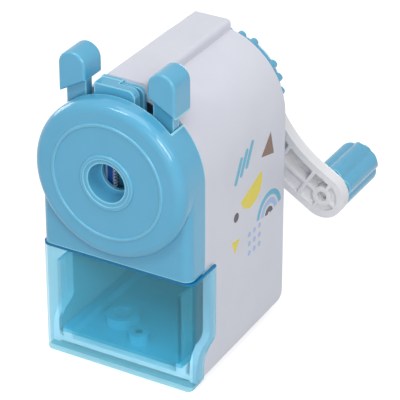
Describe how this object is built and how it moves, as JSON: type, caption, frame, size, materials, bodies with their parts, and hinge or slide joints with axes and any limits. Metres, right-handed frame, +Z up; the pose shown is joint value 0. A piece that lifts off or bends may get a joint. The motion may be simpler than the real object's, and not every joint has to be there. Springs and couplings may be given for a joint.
{
  "type": "crank pencil sharpener",
  "caption": "Desk pencil sharpener with an arched casing, a sprung sliding front whose squeeze ears open the pencil jaws, a clear shavings drawer, and a rear crank that drives a helical cutter.",
  "frame": {"origin": "on the table plane, midway between the casing's sides, below the pencil axis", "axes": "+X to the right as seen from the front, +Y towards the crank, +Z up; the pencil enters along +Y"},
  "size_m": [0.0799, 0.1278, 0.1276],
  "materials": {
    "white_plastic": "smooth moulded",
    "blue_plastic": "smooth moulded",
    "clear_plastic": "clear tinted",
    "steel": "bright",
    "jaw_plastic": "moulded",
    "bearing_plastic": "moulded",
    "rubber": "matte",
    "die_cast": "as cast"
  },
  "bodies": {
    "frame": {"housing_shell": "white_plastic", "base_plate": "white_plastic", "base_screws": "steel", "rubber_feet": "rubber", "bulkhead": "white_plastic", "rod_bushes": "bearing_plastic", "front_bush": "bearing_plastic", "cutter_barrel": "white_plastic", "rear_bush": "bearing_plastic", "ring_gear": "bearing_plastic", "return_springs": "steel"},
    "collar": {"lock_collar": "blue_plastic"},
    "carriage": {"face_shell": "blue_plastic", "guide_plate": "blue_plastic", "face_screws": "steel", "top_guide": "blue_plastic", "guide_rods": "steel", "rod_clips": "steel", "left_clamp_spring": "steel", "right_clamp_spring": "steel"},
    "left_clamp": {"left_lever": "blue_plastic", "left_jaw": "jaw_plastic"},
    "right_clamp": {"right_lever": "blue_plastic", "right_jaw": "jaw_plastic"},
    "drawer": {"shavings_drawer": "clear_plastic"},
    "crank": {"crank_arm": "white_plastic", "drive_shaft": "steel", "cutter_cage": "die_cast", "cutter_axle": "steel", "crank_screw": "steel", "knob_pin": "steel"},
    "knob": {"crank_knob": "blue_plastic"},
    "cutter": {"helical_cutter": "steel", "cutter_pinion": "steel"}
  },
  "joints": [
    {"name": "front_slide", "type": "slide", "parent": "frame", "child": "carriage", "axis": [0, -1, 0], "range_m": [0, 0.03], "stiffness_N_per_m": 150, "deforming": ["return_springs"]},
    {"name": "left_squeeze", "type": "slide", "parent": "carriage", "child": "left_clamp", "axis": [1, 0, 0], "range_m": [0, 0.0026], "stiffness_N_per_m": 900, "deforming": ["left_clamp_spring"]},
    {"name": "right_squeeze", "type": "slide", "parent": "carriage", "child": "right_clamp", "axis": [-1, 0, 0], "range_m": [0, 0.0026], "stiffness_N_per_m": 900, "deforming": ["right_clamp_spring"]},
    {"name": "drawer_slide", "type": "slide", "parent": "frame", "child": "drawer", "axis": [0, -1, 0], "range_m": [0, 0.045]},
    {"name": "crank_turn", "type": "hinge", "parent": "frame", "child": "crank", "pos_m": [0, 0.0484, 0.0838], "axis": [0, 1, 0], "continuous": true},
    {"name": "knob_spin", "type": "hinge", "parent": "crank", "child": "knob", "pos_m": [0.03862, 0.0557, 0.04294], "axis": [0, 1, 0], "continuous": true},
    {"name": "cutter_spin", "type": "hinge", "parent": "crank", "child": "cutter", "pos_m": [0, 0.0364, 0.08844], "axis": [0, -0.9816, 0.1908], "continuous": true},
    {"name": "collar_lock", "type": "hinge", "parent": "frame", "child": "collar", "pos_m": [0, 0.0401, 0.0838], "axis": [0, 1, 0], "range_deg": [0, 15]}
  ],
  "couplings": [
    {"joint": "cutter_spin", "follows": "crank_turn", "ratio": 1.6}
  ]
}
